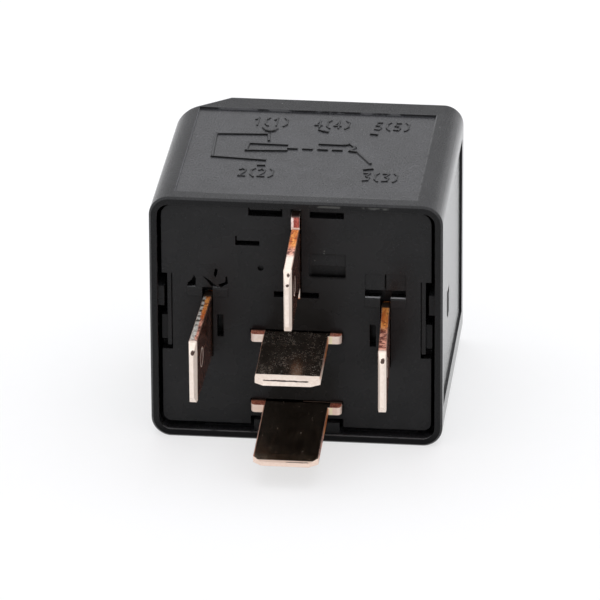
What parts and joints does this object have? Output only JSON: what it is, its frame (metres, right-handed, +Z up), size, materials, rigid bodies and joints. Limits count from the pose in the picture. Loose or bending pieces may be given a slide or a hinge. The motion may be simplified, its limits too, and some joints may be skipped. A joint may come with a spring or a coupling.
{
  "type": "automotive relay",
  "caption": "Plug-in changeover relay with a black moulded cover, flat blade terminals and a coil that rocks an armature between fixed contacts.",
  "frame": {"origin": "centre of the whole relay's outline, on the surface it lies on", "axes": "+X across the relay, +Y from the blades to the cover's closed end, +Z up from the side it lies on"},
  "size_m": [0.028, 0.0356, 0.025],
  "materials": {
    "cover_plastic": "moulded, fine satin texture",
    "base_plastic": "moulded, smooth satin",
    "blade_plating": "bright plated copper alloy",
    "yoke_iron": "zinc plated",
    "core_iron": "nickel plated",
    "armature_iron": "zinc plated",
    "bobbin_plastic": "natural glass-filled nylon",
    "winding_copper": "enamelled copper wire",
    "leaf_bronze": "rolled spring bronze",
    "contact_silver": "silver alloy",
    "rivet_steel": "plated",
    "resistor_body": "lacquered",
    "wire_tin": "tinned"
  },
  "bodies": {
    "housing": {"cover": "cover_plastic", "base": "base_plastic", "terminal_30": "blade_plating", "terminal_85": "blade_plating", "terminal_86": "blade_plating", "terminal_87": "blade_plating", "terminal_87a": "blade_plating", "terminal_30_rivet": "rivet_steel", "yoke": "yoke_iron", "core": "core_iron", "bobbin": "bobbin_plastic", "coil_winding": "winding_copper", "coil_lead_85": "winding_copper", "coil_lead_86": "winding_copper", "yoke_rivets": "rivet_steel", "open_contact": "contact_silver", "closed_contact": "contact_silver", "suppression_resistor": "resistor_body", "resistor_lead_85": "wire_tin", "resistor_lead_86": "wire_tin"},
    "armature_body": {"armature": "armature_iron", "contact_spring": "leaf_bronze", "armature_rivets": "rivet_steel", "moving_contact": "contact_silver"}
  },
  "joints": [
    {"name": "armature_pivot", "type": "hinge", "parent": "housing", "child": "armature_body", "pos_m": [0, 0.01165, 0.02295], "axis": [-1, 0, 0], "range_deg": [0, 2.6], "stiffness_Nm_per_rad": 0.02, "springref_deg": -11.46, "deforming": ["contact_spring"]}
  ]
}
